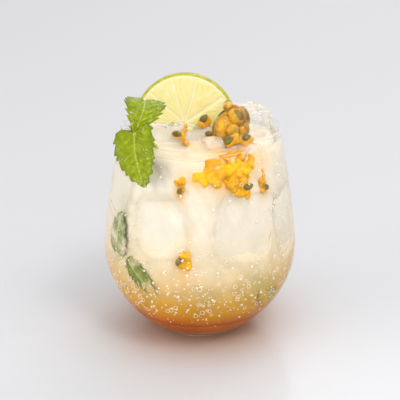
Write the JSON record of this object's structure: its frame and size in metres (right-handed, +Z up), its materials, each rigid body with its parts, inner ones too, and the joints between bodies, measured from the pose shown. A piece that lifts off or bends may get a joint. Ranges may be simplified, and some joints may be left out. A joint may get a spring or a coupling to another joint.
{
  "type": "mojito cocktail",
  "caption": "Passion fruit mojito in a stemless tumbler with ice, a standing lime wheel, fruit pulp and a mint sprig over the rim.",
  "frame": {"origin": "centre of the tumbler's foot on the surface it stands on", "axes": "+Z up along the tumbler's axis, -Y towards the side the lime wheel faces, +X to the viewer's right"},
  "size_m": [0.095, 0.095, 0.1257],
  "materials": {
    "glass": "clear polished",
    "syrup": "glossy dark amber liquid",
    "drink": "cloudy pale liquid shading to amber at the bottom",
    "lime": "moist cut fruit with a thin green rind",
    "mint": "satin leaf",
    "ice": "clear wet ice",
    "pulp": "glossy juice sacs with dark seeds"
  },
  "bodies": {
    "root": {"glass": "glass", "syrup": "syrup", "drink": "drink", "lime_wheel": "lime", "mint_sprig": "mint", "ice_left": "ice", "ice_centre": "ice", "ice_under_heap": "ice", "ice_right": "ice", "ice_front": "ice", "ice_front_right": "ice", "ice_back": "ice", "ice_back_left": "ice", "pulp_heap": "pulp", "pulp_strip": "pulp", "pulp_strand": "pulp", "pulp_dab": "pulp"}
  },
  "joints": []
}
